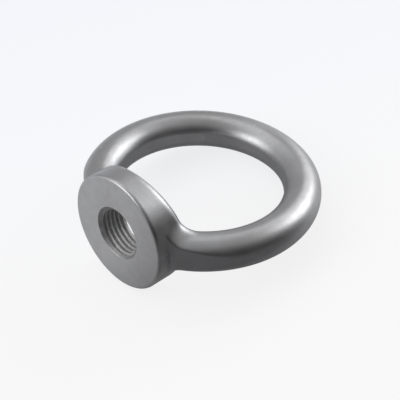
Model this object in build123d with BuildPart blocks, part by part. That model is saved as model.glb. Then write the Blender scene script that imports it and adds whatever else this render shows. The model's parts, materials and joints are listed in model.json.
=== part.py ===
from build123d import *
import os
from math import asin, atan2, degrees, hypot

os.makedirs("parts", exist_ok=True)

# --- Ring (the eye) ---
ring_radius = 30.7       # centre line of the ring bar
bar_radius = 5.7         # round section of the ring bar
ring_lift = 0.2          # the bar stands this much proud of the boss, at the bottom of the eye

# --- Boss (the threaded disc) ---
boss_radius = 18.1       # wall of the disc
boss_thickness = 8.3     # seat face to the lowest line of the hollowed eye side
hollow_radius = 38.0     # hollow of the eye side, about the ring's own direction
rim_radius = 2.5         # round on the eye-side rim of the wall
seat_radius = 0.8        # round between seat face and wall
land_height = 1.4        # turned band next to the seat face, cut true to the wall
neck_radius = 8.0        # forged fillet where the boss runs into the ring bar

# --- Thread M16 x 1.5, cut to its crest circle ---
thread_minor_diameter = 14.376
lead_in_diameter = 16.8  # mouth of the countersink in the seat face
lead_in_depth = 0.9

# --- Working sizes ---
ring_height = boss_thickness + ring_lift + ring_radius - bar_radius   # ring centre above the seat
stock_depth = 2 * bar_radius + neck_radius      # stock below the seat face, cut off again
hollow_centre = boss_thickness + hollow_radius


def on_wall(edge):
    """True for a curved edge that lies on the wall of the boss."""
    return edge.geom_type != GeomType.LINE and all(
        abs(hypot(p.X, p.Y) - boss_radius) < 1e-3 for p in (edge @ 0, edge @ 0.5, edge @ 1)
    )


def around_bar(edge):
    """True for an edge that runs round the bar, where the boss meets it."""
    points = (edge @ 0, edge @ 0.5, edge @ 1)
    on_bar = all(
        abs(hypot(hypot(p.X, p.Z - ring_height) - ring_radius, p.Y) - bar_radius) < 2e-3
        for p in points
    )
    in_plane = max(abs(p.X) for p in points) < 1e-3 or max(abs(p.Y) for p in points) < 1e-3
    return on_bar and not in_plane and points[1].Z < ring_height - bar_radius


# The nut is built standing on its seat face: bore along Z, ring in the XZ plane.
# One quarter is made and mirrored twice.

# Quarter of the ring bar: a half-round section swept half a turn
with BuildPart() as bar:
    with BuildSketch(Plane.YZ) as bar_section:
        with BuildLine():
            arc = CenterArc((0, ring_height + ring_radius), bar_radius, -90, 180)
            Line(arc @ 0, arc @ 1)
        make_face()
    revolve(axis=Axis((0, 0, ring_height), (0, 1, 0)), revolution_arc=180)

# Quarter of the boss with its hollowed eye side and rounded rim, grown into the bar
with BuildPart() as quarter:
    with BuildSketch(Plane.XY.offset(-stock_depth)):
        Circle(boss_radius)
    extrude(amount=stock_depth + ring_height)
    with BuildSketch(Plane.XZ.offset(-2 * boss_radius)):
        with Locations((0, hollow_centre)):
            Circle(hollow_radius)
    extrude(amount=4 * boss_radius, mode=Mode.SUBTRACT)
    split(bisect_by=Plane.XZ, keep=Keep.BOTTOM)
    split(bisect_by=Plane.YZ, keep=Keep.TOP)
    fillet([e for e in quarter.edges() if on_wall(e) and e.center().Z > 0], radius=rim_radius)
    add(bar.part)
    split(bisect_by=Plane.XY.offset(ring_height), keep=Keep.BOTTOM)
    fillet([e for e in quarter.edges() if around_bar(e)], radius=neck_radius)
    split(bisect_by=Plane.XY, keep=Keep.TOP)
    with BuildSketch():
        Circle(2 * boss_radius)
        Circle(boss_radius, mode=Mode.SUBTRACT)
    extrude(amount=land_height, mode=Mode.SUBTRACT)
    fillet([e for e in quarter.edges() if on_wall(e) and abs(e.center().Z) < 1e-3], radius=seat_radius)
    add(bar.part)
    split(bisect_by=Plane.XY, keep=Keep.TOP)

# Whole nut with its bore and lead-in
with BuildPart() as standing:
    add(quarter.part)
    mirror(about=Plane.XZ)
    mirror(about=Plane.YZ)
    with BuildSketch():
        Circle(thread_minor_diameter / 2)
    extrude(amount=ring_height, mode=Mode.SUBTRACT)
    with Locations((0, 0, lead_in_depth / 2)):
        Cone(lead_in_diameter / 2, thread_minor_diameter / 2, lead_in_depth, mode=Mode.SUBTRACT)

# At rest the ring lies down: its far side and the rim of the boss touch the floor.
# In the ring's own plane, the rim round (centre below) and the bar round share one floor line.
rim_centre_height = boss_thickness - rim_radius
rim_centre_out = boss_radius - rim_radius
reach = ring_height - rim_centre_height + ring_radius
lean = degrees(
    atan2(rim_centre_out, reach) + asin((rim_radius - bar_radius) / hypot(rim_centre_out, reach))
)
lying = standing.part.rotate(Axis.X, 90).rotate(Axis.Z, 90).rotate(Axis.Y, lean)
box = lying.bounding_box()

with BuildPart() as eye_nut:
    add(lying.moved(Location((-box.center().X, -box.center().Y, -box.min.Z))))

eye_nut.part.label = "eye_nut"
export_step(eye_nut.part, "parts/eye_nut.step")
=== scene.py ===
# %% [markdown]
# # A lifting eye nut in satin steel
# This notebook dresses a forged eye nut: a round threaded boss grown into a ring. The
# solid comes ready measured from its maker's drawing. Blender adds what a drawing leaves
# out: the trimmed and worn edges of a forging, the turns of the thread, the grain of the
# steel and the light of a small studio. We start by loading the solid and reading where
# it lies.

# %% Load the nut and keep its box
import bpy
import bmesh
import json
from math import atan2, cos, hypot, pi, radians, sin
from mathutils import Matrix, Vector

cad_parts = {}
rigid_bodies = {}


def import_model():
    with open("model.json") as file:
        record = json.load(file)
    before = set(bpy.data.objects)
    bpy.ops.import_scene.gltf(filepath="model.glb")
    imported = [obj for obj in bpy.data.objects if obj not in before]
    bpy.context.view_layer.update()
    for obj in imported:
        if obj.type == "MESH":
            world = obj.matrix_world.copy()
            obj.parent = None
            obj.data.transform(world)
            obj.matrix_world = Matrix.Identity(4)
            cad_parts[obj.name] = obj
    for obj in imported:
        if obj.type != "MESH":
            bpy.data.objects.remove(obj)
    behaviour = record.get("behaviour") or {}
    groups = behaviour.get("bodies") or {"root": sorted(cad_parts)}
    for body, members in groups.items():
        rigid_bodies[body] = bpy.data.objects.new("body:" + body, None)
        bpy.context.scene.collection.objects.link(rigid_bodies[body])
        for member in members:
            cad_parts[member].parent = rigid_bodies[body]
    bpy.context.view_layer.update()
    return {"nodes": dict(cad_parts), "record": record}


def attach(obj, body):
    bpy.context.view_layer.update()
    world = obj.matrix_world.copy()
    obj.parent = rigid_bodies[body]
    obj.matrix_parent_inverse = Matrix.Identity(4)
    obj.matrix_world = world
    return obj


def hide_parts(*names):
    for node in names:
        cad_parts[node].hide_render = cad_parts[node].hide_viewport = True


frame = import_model()
node = frame["nodes"]["eye_nut"]
MM = 0.001

# %% [markdown]
# The nut lies on the floor with its bore tilted, so its parts are easier to place from
# axes of its own: X across the ring, Y square to the ring, Z up the bore from the seat
# face. The record says where the bore and the seat face are, and the axes follow.

# %% The nut's own axes
mounts = {m["name"]: m for m in frame["record"]["mounts"]}
bore_out = Vector(mounts["thread"]["axis"]).normalized()
bore_point = Vector(mounts["thread"]["pos_m"])
seat_point = Vector(mounts["seat"]["pos_m"])
seat_centre = bore_point + bore_out * (seat_point - bore_point).dot(bore_out)

nut_z = -bore_out
nut_x = Vector((0, 1, 0))
nut_y = nut_z.cross(nut_x)
turned = Matrix((nut_x, nut_y, nut_z)).transposed().to_4x4()
nut_axes = Matrix.Translation(seat_centre) @ turned
into_nut = nut_axes.inverted()
print("seat face centre in mm:", [round(v / MM, 2) for v in seat_centre])

RING_RADIUS = 30.7 * MM     # centre line of the ring bar
BAR_RADIUS = 5.7 * MM
RING_HEIGHT = 33.5 * MM     # ring centre above the seat face
BOSS_RADIUS = 18.1 * MM
BOSS_THICKNESS = 8.3 * MM
LEAD_IN_RADIUS = 8.4 * MM   # mouth of the countersink
LEAD_IN_DEPTH = 0.9 * MM
MERGE = 0.001 * MM          # points closer than this are one point

# %% [markdown]
# Most steps act on one object in edit mode, or apply a modifier to it. These helpers add
# an object to the scene, select it alone, run steps on it in edit mode, and add a
# modifier and apply it at once.

# %% Helpers for objects and operators
def add_object(name, data):
    """A new object at the origin that holds this mesh, lamp or camera."""
    obj = bpy.data.objects.new(name, data)
    bpy.context.scene.collection.objects.link(obj)
    return obj


def only(obj):
    """Select this object alone and make it active."""
    bpy.ops.object.select_all(action="DESELECT")
    obj.select_set(True)
    bpy.context.view_layer.objects.active = obj


def edit(obj, *steps):
    """Run steps in edit mode with every vertex selected."""
    only(obj)
    bpy.ops.object.mode_set(mode="EDIT")
    bpy.ops.mesh.select_all(action="SELECT")
    for step in steps:
        step()
    bpy.ops.object.mode_set(mode="OBJECT")


def apply_modifier(obj, kind, **settings):
    """Add a modifier with these settings and apply it."""
    only(obj)
    modifier = obj.modifiers.new(kind.lower(), kind)
    for name, value in settings.items():
        setattr(modifier, name, value)
    bpy.ops.object.modifier_apply(modifier=modifier.name)


def merge_points():
    bpy.ops.mesh.remove_doubles(threshold=MERGE)


def fill_open_rims():
    bpy.ops.mesh.select_all(action="SELECT")
    bpy.ops.mesh.fill_holes(sides=0)


def turn_normals_out():
    bpy.ops.mesh.select_all(action="SELECT")
    bpy.ops.mesh.normals_make_consistent(inside=False)


def triangles(obj):
    return sum(len(p.vertices) - 2 for p in obj.data.polygons)

# %% [markdown]
# ## The body
# The drawing gives exact edges, but a forging that has been blasted and polished has none:
# the ridge round the hollow and the step beside the turned band are a little worn. The
# bore is tapped here too, with turns of thread. So the body starts as a copy of the solid
# with its bore closed, a blank. The thread is cut into it afresh, further down.

# %% Copy the solid and close its bore
FACES_AXIS = -0.3           # how far a wall must look at the bore's axis


def close_bore():
    """Delete the walls of the bore and its countersink, and cap the two open rims."""
    mesh = bmesh.from_edit_mesh(bpy.context.object.data)
    for face in mesh.faces:
        corners = [into_nut @ v.co for v in face.verts]
        inside = all(hypot(p.x, p.y) < LEAD_IN_RADIUS + 0.01 * MM for p in corners)
        middle = into_nut @ face.calc_center_median()
        outward = Vector((middle.x, middle.y, 0)).normalized()
        looks = (into_nut.to_3x3() @ face.normal).dot(outward)
        low = middle.z < BOSS_THICKNESS + 2 * MM
        face.select_set(inside and looks < FACES_AXIS and low)
    bmesh.update_edit_mesh(bpy.context.object.data)
    bpy.ops.mesh.delete(type="FACE")
    fill_open_rims()


body = add_object("nut_body", node.data.copy())
edit(body, merge_points, close_bore)
blank = add_object("blank", body.data.copy())
print("blank:", len(blank.data.polygons), "faces")

# %% [markdown]
# The solid's faces are long and thin, and can't be bent or relaxed. A voxel remesh
# rebuilds the blank from even little faces, and Shrinkwrap pulls them back onto its own
# true surface.

# %% Give the body even faces
VOXEL = 0.36 * MM

apply_modifier(body, "REMESH", mode="VOXEL", voxel_size=VOXEL)
apply_modifier(body, "SHRINKWRAP", target=blank, wrap_method="NEAREST_SURFACEPOINT")
print("body after remesh:", len(body.data.vertices), "points")

# %% [markdown]
# A forging leaves its dies with a thin web of flash round its outline, and a trimming tool
# shears it off. Near the boss the tool also took a flat facet off the outside of the ring,
# which widens from nothing to the wall. Each point outside the tool's line moves in to it,
# but never into the boss. Inside the ring the tool left a narrow facet, which fades out
# where the outer one grows. Moving points keeps the mesh whole, which a cut would not.

# %% Trim the ring
TRIM_FROM, TRIM_TO = radians(20), radians(60)   # round the ring, from its widest points
TRIM_DEPTH = 2.1 * MM
TRIM_CURVE = 1.6            # the facet starts gently and deepens towards the boss
INNER_TRIM = 0.22 * MM
WALL_CLEARANCE = 0.02 * MM  # points this near the wall of the boss stay


def at_reach(point, reach, wanted):
    """The point slid along its radius of the ring, from this reach to the wanted one."""
    x, z = point.x, point.z - RING_HEIGHT
    return Vector((x * wanted / reach, point.y, z * wanted / reach + RING_HEIGHT))


def trimmed(point):
    """The point after the trimming tool has passed, both in the nut's own axes."""
    x, z = point.x, point.z - RING_HEIGHT
    reach = hypot(x, z)
    turn = atan2(-z, abs(x))
    travel = min(max((turn - TRIM_FROM) / (TRIM_TO - TRIM_FROM), 0.0), 1.0)
    outer = RING_RADIUS + BAR_RADIUS - TRIM_DEPTH * travel ** TRIM_CURVE
    inner = RING_RADIUS - BAR_RADIUS + INNER_TRIM * (1 - travel)
    if reach < inner and travel < 1:
        return at_reach(point, reach, inner)
    near_boss = hypot(point.x, point.y) <= BOSS_RADIUS + WALL_CLEARANCE
    if travel == 0 or reach <= outer or near_boss:
        return point
    new = at_reach(point, reach, outer)
    across = hypot(new.x, new.y)
    if across < BOSS_RADIUS:
        new.x, new.y = new.x * BOSS_RADIUS / across, new.y * BOSS_RADIUS / across
    return new


moved = 0
for vertex in body.data.vertices:
    old = into_nut @ vertex.co
    new = trimmed(old)
    if new is not old:
        vertex.co = nut_axes @ new
        moved += 1
print("points trimmed:", moved)

# %% [markdown]
# The relaxing is steered by a vertex group. It takes the boss and the roots of the ring,
# and fades out towards the seat face, which is machined flat and stays crisp.

# %% Relax the edges of the boss
SEAT_KEEP = (0.9 * MM, 1.8 * MM)   # none below the first height, all above the second
BOSS_TOP = (18 * MM, 24 * MM)      # and fading out again up the ring
RELAX_ROUNDS = 14


def fade(value, low, high):
    """From 0 at the low value to 1 at the high one, with soft ends."""
    t = min(max((value - low) / (high - low), 0.0), 1.0)
    return t * t * (3 - 2 * t)


boss = body.vertex_groups.new(name="boss")
relaxed = 0
for vertex in body.data.vertices:
    height = (into_nut @ vertex.co).z
    weight = fade(height, *SEAT_KEEP) * (1 - fade(height, *BOSS_TOP))
    if weight > 0:
        boss.add([vertex.index], weight, "REPLACE")
        relaxed += 1
apply_modifier(body, "SMOOTH", factor=0.5, iterations=RELAX_ROUNDS, vertex_group="boss")
print("points relaxed on the boss:", relaxed)

# %% [markdown]
# ## The thread
# A tap cuts the thread into the bore, so here a tap-shaped cutter does the same. It has a
# core that clears the bore and the countersink. The core is round, so half of its outline
# is drawn and the Screw modifier spins it, as a lathe would.

# %% The core of the tap
CREST_RADIUS = 7.188 * MM   # bore wall, the crests of the thread
BELOW, ABOVE = -2 * MM, 16 * MM    # the core runs past both ends of the bore


def outline(name, points, closed):
    """An object that is only a line through these points."""
    mesh = bpy.data.meshes.new(name)
    obj = add_object(name, mesh)
    shape = bmesh.new()
    corners = [shape.verts.new(co) for co in points]
    for a, b in zip(corners, corners[1:]):
        shape.edges.new((a, b))
    if closed:
        shape.edges.new((corners[-1], corners[0]))
    shape.to_mesh(mesh)
    shape.free()
    return obj


slope = (LEAD_IN_RADIUS - CREST_RADIUS) / LEAD_IN_DEPTH
core = outline("tap_core", [(radius, 0, height) for radius, height in (
    (0, BELOW), (LEAD_IN_RADIUS - slope * BELOW, BELOW), (LEAD_IN_RADIUS, 0),
    (CREST_RADIUS, LEAD_IN_DEPTH), (CREST_RADIUS, ABOVE), (0, ABOVE))], closed=False)
apply_modifier(core, "SCREW", angle=2 * pi, screw_offset=0, steps=96, render_steps=96,
               use_merge_vertices=True, merge_threshold=MERGE)
edit(core, merge_points, turn_normals_out)
print("tap core:", triangles(core), "triangles")

# %% [markdown]
# The cutting edge of the tap is one narrow wedge, and the Screw modifier winds it up the
# bore. It starts a turn below the seat face, so that the thread runs out of the
# countersink cleanly.

# %% The rib of the tap
PITCH = 1.5 * MM
TURNS = 6
ROOT_RADIUS = 7.85 * MM     # where the wedge ends, deep in the wall
RIB_RADIUS = 7.0 * MM       # where it starts, inside the bore
HALF_RIB, HALF_ROOT = 0.66 * MM, 0.17 * MM    # half its width at either end

rib = outline("tap_rib", [(RIB_RADIUS, 0, -HALF_RIB), (ROOT_RADIUS, 0, -HALF_ROOT),
                          (ROOT_RADIUS, 0, HALF_ROOT), (RIB_RADIUS, 0, HALF_RIB)], closed=True)
apply_modifier(rib, "SCREW", angle=2 * pi, screw_offset=PITCH, iterations=TURNS,
               steps=72, render_steps=72)
edit(rib, merge_points, fill_open_rims, turn_normals_out)
rib.data.transform(Matrix.Translation((0, 0, -PITCH)))
print("tap rib:", triangles(rib), "triangles")

# %% [markdown]
# Both cutters are moved from the tap's axes to the bore, and taken out of the body one
# after the other with booleans. The finished body stands for the plain solid.

# %% Tap the hole
for cutter in (core, rib):
    cutter.data.transform(nut_axes)
    apply_modifier(body, "BOOLEAN", operation="DIFFERENCE", object=cutter, solver="EXACT")
for helper in (core, rib, blank):
    bpy.data.objects.remove(helper)
only(body)
bpy.ops.object.shade_smooth_by_angle(angle=radians(32))
print("tapped body:", triangles(body), "triangles")

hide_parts("eye_nut")
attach(body, "root")

# %% [markdown]
# ## Satin steel
# The steel was blasted and lightly polished. It has a fine grain that breaks up small
# reflections, cloudy changes of tone and gloss, and faint rub marks. The patterns are a
# node group, so that any finish can use them with its own values.

# %% The pattern group
def pattern_group():
    """Three noises at scales of their own, each with a detail and a roughness."""
    noises = {"Cloud": (3.0, 0.5), "Mottle": (5.0, 0.65), "Grain": (2.0, 0.6)}
    group = bpy.data.node_groups.new("steel_patterns", "ShaderNodeTree")
    group.interface.new_socket(name="Vector", in_out="INPUT", socket_type="NodeSocketVector")
    for name in noises:
        group.interface.new_socket(name=name + " Scale", in_out="INPUT",
                                   socket_type="NodeSocketFloat")
    for name in noises:
        group.interface.new_socket(name=name, in_out="OUTPUT", socket_type="NodeSocketFloat")
    nodes, links = group.nodes, group.links
    inside, outside = nodes.new("NodeGroupInput"), nodes.new("NodeGroupOutput")
    for name, (detail, roughness) in noises.items():
        noise = nodes.new("ShaderNodeTexNoise")
        noise.inputs["Detail"].default_value = detail
        noise.inputs["Roughness"].default_value = roughness
        links.new(inside.outputs["Vector"], noise.inputs["Vector"])
        links.new(inside.outputs[name + " Scale"], noise.inputs["Scale"])
        links.new(noise.outputs["Fac"], outside.inputs[name])
    return group


patterns = pattern_group()
print("pattern group:", [item.name for item in patterns.interface.items_tree])

# %% [markdown]
# The next helpers add single nodes to a tree, and take a number or a socket for each
# input. With them a finish reads like a short sum, instead of a page of links.

# %% Node helpers
def feed(tree, socket, value):
    """Link a socket, or write a plain number or tuple into it."""
    if isinstance(value, bpy.types.NodeSocket):
        tree.links.new(value, socket)
    else:
        socket.default_value = value


def operation_node(tree, kind, operation, values):
    new_node = tree.nodes.new(kind)
    new_node.operation = operation
    for socket, value in zip(new_node.inputs, values):
        feed(tree, socket, value)
    return new_node


def math_node(tree, operation, *values):
    return operation_node(tree, "ShaderNodeMath", operation, values).outputs[0]


def vector_node(tree, operation, *values):
    output = "Value" if operation in ("DOT_PRODUCT", "LENGTH") else "Vector"
    return operation_node(tree, "ShaderNodeVectorMath", operation, values).outputs[output]


def map_range(tree, source, low, high, start=0.0, end=1.0):
    """Low where the source is at its start, high where it is at its end."""
    new_node = tree.nodes.new("ShaderNodeMapRange")
    for name, value in (("Value", source), ("From Min", start), ("From Max", end),
                        ("To Min", low), ("To Max", high)):
        feed(tree, new_node.inputs[name], value)
    return new_node.outputs["Result"]


def mix_colour(tree, factor, a, b):
    new_node = tree.nodes.new("ShaderNodeMix")
    new_node.data_type = "RGBA"
    for index, value in ((0, factor), (6, a), (7, b)):
        feed(tree, new_node.inputs[index], value)
    return new_node.outputs[2]

# %% [markdown]
# The bore is finished unlike the rest. The cut thread is rougher, and the countersink at
# its mouth is painted dark, as painted shade in that recess. Both are found by their distance
# from the bore's axis and their depth below the seat face, so no face has to be picked by
# hand.

# %% Masks for the bore
BORE_WALL = (8.15 * MM, 8.35 * MM)     # each mask falls from 1 to 0 between its two values
BORE_DEPTH = (10 * MM, 11 * MM)
LEAD_IN_WALL = (8.36 * MM, 8.44 * MM)
LEAD_IN_FOOT = (0.70 * MM, 0.95 * MM)


def bore_masks(tree, place):
    """1 in the bore, and 1 in its countersink."""
    from_seat = vector_node(tree, "SUBTRACT", place, seat_centre)
    off_axis = vector_node(tree, "LENGTH",
                           vector_node(tree, "CROSS_PRODUCT", from_seat, bore_out))
    depth = vector_node(tree, "DOT_PRODUCT", from_seat, nut_z)
    return [math_node(tree, "MULTIPLY", map_range(tree, off_axis, 1, 0, *wall),
                      map_range(tree, depth, 1, 0, *foot))
            for wall, foot in ((BORE_WALL, BORE_DEPTH), (LEAD_IN_WALL, LEAD_IN_FOOT))]

# %% [markdown]
# The tone starts from a cloudy mix of two greys. Mottling, rubbed edges, the cut thread
# and painted shade in the countersink are laid over it one by one, each with its own
# strength. The Geometry node's Pointiness finds the raised edges that hands and hooks rub
# bright.

# %% The tone of the steel
CLOUD_SPAN = (0.35, 0.65)      # the part of each noise that counts, from none to all
MOTTLE_SPAN = (0.3, 0.7)
EDGE_SPAN = (0.515, 0.56)
DARK_CLOUD = (0.43, 0.43, 0.437, 1)
LIGHT_CLOUD = (0.515, 0.518, 0.53, 1)
MOTTLED = (0.58, 0.58, 0.59, 1)
RUBBED = (0.66, 0.66, 0.665, 1)
CUT = (0.50, 0.50, 0.50, 1)
# painted shade: a dark grey laid in the countersink, where shade falls in the recess
LEAD_IN_SHADE = (0.24, 0.24, 0.24, 1)


def steel_tone(tree, steel, in_bore, in_lead_in):
    pointiness = tree.nodes.new("ShaderNodeNewGeometry").outputs["Pointiness"]
    mottle = map_range(tree, steel["Mottle"], 0, 1, *MOTTLE_SPAN)
    raised = map_range(tree, pointiness, 0, 1, *EDGE_SPAN)
    cloud = map_range(tree, steel["Cloud"], 0, 1, *CLOUD_SPAN)
    tone = mix_colour(tree, cloud, DARK_CLOUD, LIGHT_CLOUD)
    for mask, strength, colour in ((mottle, 0.45, MOTTLED), (raised, 0.5, RUBBED),
                                   # the countersink mask lays painted shade over the tone
                                   (in_bore, 0.6, CUT), (in_lead_in, 0.75, LEAD_IN_SHADE)):
        tone = mix_colour(tree, math_node(tree, "MULTIPLY", mask, strength), tone, colour)
    return tone

# %% [markdown]
# The same patterns steer the gloss, so that light patches are also a little smoother or
# duller. Grain and mottling make a bump a few hundredths of a millimetre high. One
# material of these parts covers the whole nut.

# %% The steel material
CLOUD_GLOSS = (0.31, 0.37)     # roughness, over the span of the clouds
MOTTLE_GLOSS = (0.07, -0.04)   # added to it over the span of the mottling
CUT_GLOSS = 0.22               # and added in the bore
MOTTLE_IN_BUMP = 0.8
BUMP_HEIGHT = 0.03 * MM


def steel_material():
    material = bpy.data.materials.new("satin_steel")
    material.use_nodes = True
    tree = material.node_tree
    shader = tree.nodes["Principled BSDF"].inputs
    shader["Metallic"].default_value = 1.0
    place = tree.nodes.new("ShaderNodeTexCoord").outputs["Object"]
    group = tree.nodes.new("ShaderNodeGroup")
    group.node_tree = patterns
    for name, value in (("Vector", place), ("Cloud Scale", 70), ("Mottle Scale", 420),
                        ("Grain Scale", 2600)):
        feed(tree, group.inputs[name], value)
    steel = group.outputs
    in_bore, in_lead_in = bore_masks(tree, place)
    feed(tree, shader["Base Color"], steel_tone(tree, steel, in_bore, in_lead_in))

    gloss = math_node(tree, "ADD", map_range(tree, steel["Cloud"], *CLOUD_GLOSS, *CLOUD_SPAN),
                      map_range(tree, steel["Mottle"], *MOTTLE_GLOSS, *MOTTLE_SPAN))
    dull_bore = math_node(tree, "MULTIPLY", in_bore, CUT_GLOSS)
    feed(tree, shader["Roughness"], math_node(tree, "ADD", gloss, dull_bore))

    bump = tree.nodes.new("ShaderNodeBump")
    bump.inputs["Strength"].default_value = 0.6
    bump.inputs["Distance"].default_value = BUMP_HEIGHT
    mottle_height = math_node(tree, "MULTIPLY", steel["Mottle"], MOTTLE_IN_BUMP)
    feed(tree, bump.inputs["Height"], math_node(tree, "ADD", steel["Grain"], mottle_height))
    feed(tree, shader["Normal"], bump.outputs["Normal"])
    return material


body.data.materials.clear()
body.data.materials.append(steel_material())
print("steel:", len(body.data.materials[0].node_tree.nodes), "nodes")

# %% [markdown]
# ## The studio
# The floor is one pale sheet that keeps the nut's soft shadow. Seen straight on, it is
# lifted to near white. Glossy and transmitted rays get a share of that lift, so that metal
# and glass show the sheet. The share fades out in front of the nut, where a dark room
# behind the camera keeps the sheet dim, and in the ring's shade inside the eye. That gives
# the steel its dark lower flanks.

# %% The floor
BACK_AZIMUTH = 60              # straight away from the camera, seen from above
FLOOR_TONE = 0.22
FLOOR_LIFT = 0.80
WHITE = (1, 1, 1, 1)
BACK_TINT = (0.93, 0.95, 1.0, 1)
BACK_TINT_SPAN = (-0.02, 0.12)     # metres along the back direction, from white to tint
SHARE_IN_METAL = 0.60              # of the lift, behind the nut
SHARE_SPAN = (-0.045, -0.012)      # metres along the back direction, from none to all
EYE_SHARE = 0.3                    # what the shade in the eye leaves of the share
EYE_SPAN = (0.025, 0.045)          # metres from the middle, from shade to open floor


def direction(azimuth, elevation):
    a, e = radians(azimuth), radians(elevation)
    return Vector((cos(e) * cos(a), cos(e) * sin(a), sin(e)))


def floor_material():
    material = bpy.data.materials.new("pale_floor")
    material.use_nodes = True
    tree = material.node_tree
    paper = tree.nodes["Principled BSDF"].inputs
    paper["Base Color"].default_value = (FLOOR_TONE, FLOOR_TONE, FLOOR_TONE * 1.02, 1)
    paper["Roughness"].default_value = 0.9
    paper["Specular IOR Level"].default_value = 0.1
    rays = tree.nodes.new("ShaderNodeLightPath").outputs
    place = tree.nodes.new("ShaderNodeTexCoord").outputs["Object"]
    back = vector_node(tree, "DOT_PRODUCT", place, direction(BACK_AZIMUTH, 0))
    from_middle = vector_node(tree, "LENGTH", place)
    share = math_node(tree, "MULTIPLY",
                      map_range(tree, back, 0, SHARE_IN_METAL, *SHARE_SPAN),
                      map_range(tree, from_middle, EYE_SHARE, 1, *EYE_SPAN))
    mirrored = math_node(tree, "ADD", rays["Is Glossy Ray"], rays["Is Transmission Ray"])
    seen = math_node(tree, "ADD", rays["Is Camera Ray"],
                     math_node(tree, "MULTIPLY", mirrored, share))
    tint = map_range(tree, back, 0, 1, *BACK_TINT_SPAN)
    feed(tree, paper["Emission Color"], mix_colour(tree, tint, WHITE, BACK_TINT))
    feed(tree, paper["Emission Strength"], math_node(tree, "MULTIPLY", seen, FLOOR_LIFT))
    return material


bpy.ops.mesh.primitive_plane_add(size=3.0, location=(0, 0, 0))
floor = bpy.context.object
floor.name = "floor"
floor.data.materials.append(floor_material())
print("floor:", [round(side, 2) for side in floor.dimensions], "m")

# %% [markdown]
# Two wide softboxes light the ring from the right and from the left, each with a smaller
# and brighter one near its middle, and another hangs overhead towards the back. Polished
# bars show lamps as long streaks, so where the lamps stand decides the look more than how
# strong they are.

# %% Softboxes
TARGET = Vector((0, 0, 0.012))
LAMP_DISTANCE = 0.8


def softbox(name, azimuth, elevation, width, height, radiance):
    """A rectangular lamp of even radiance that faces the nut."""
    lamp = bpy.data.lights.new(name, "AREA")
    lamp.shape = "RECTANGLE"
    lamp.size, lamp.size_y = width, height
    lamp.energy = radiance * pi * width * height
    obj = add_object(name, lamp)
    obj.location = TARGET + direction(azimuth, elevation) * LAMP_DISTANCE
    obj.rotation_euler = (TARGET - obj.location).to_track_quat("-Z", "Y").to_euler()
    print(name, "at", [round(v, 3) for v in obj.location])


softbox("right_wide", -2, 22, 0.85, 0.66, 0.95)
softbox("right_core", -13, 22, 0.42, 0.36, 1.90)
softbox("left_wide", 150, 28, 0.70, 0.70, 0.85)
softbox("left_core", 155, 34, 0.30, 0.30, 2.40)
softbox("overhead", 80, 60, 0.80, 0.44, 0.65)

# %% [markdown]
# The room fills in what the lamps leave. It is dim behind the camera and lighter behind
# the nut, and the World turns smoothly from one level to the other.

# %% The room
ROOM_LEVELS = (0.045, 0.42)    # behind the camera, and behind the nut
ROOM_SPAN = (-0.45, 0.45)      # how far a direction leans to the back, over which they mix

world = bpy.data.worlds.new("studio")
bpy.context.scene.world = world
world.use_nodes = True
tree = world.node_tree
sky = tree.nodes.new("ShaderNodeTexCoord").outputs["Generated"]
facing = vector_node(tree, "DOT_PRODUCT", sky, direction(BACK_AZIMUTH, 35))
level = map_range(tree, facing, *ROOM_LEVELS, *ROOM_SPAN)
level.node.interpolation_type = "SMOOTHSTEP"
feed(tree, tree.nodes["Background"].inputs["Strength"], level)
tree.nodes["Background"].inputs["Color"].default_value = WHITE
print("room levels:", ROOM_LEVELS)

# %% [markdown]
# The camera looks down on the seat face and into the eye from a third of a metre away,
# with a long lens that keeps the ring's shape true. It is rolled a little, which sets the
# nut at an easy slant in the picture.

# %% The camera
CAMERA_ROLL = -10.33
AIM = Vector((-0.002387, -0.001815, 0.009052))

camera = add_object("camera", bpy.data.cameras.new("camera"))
camera.data.lens = 101.0
camera.data.sensor_width = 36
camera.data.clip_start = 0.01
camera.data.clip_end = 20
camera.location = (-0.14521, -0.19022, 0.25249)
look = (AIM - camera.location).to_track_quat("-Z", "Y").to_matrix()
camera.rotation_euler = (look @ Matrix.Rotation(radians(CAMERA_ROLL), 3, "Z")).to_euler()
bpy.context.scene.camera = camera
bpy.context.scene.view_settings.view_transform = "Standard"
print("camera to nut:", round((AIM - camera.location).length, 3), "m")
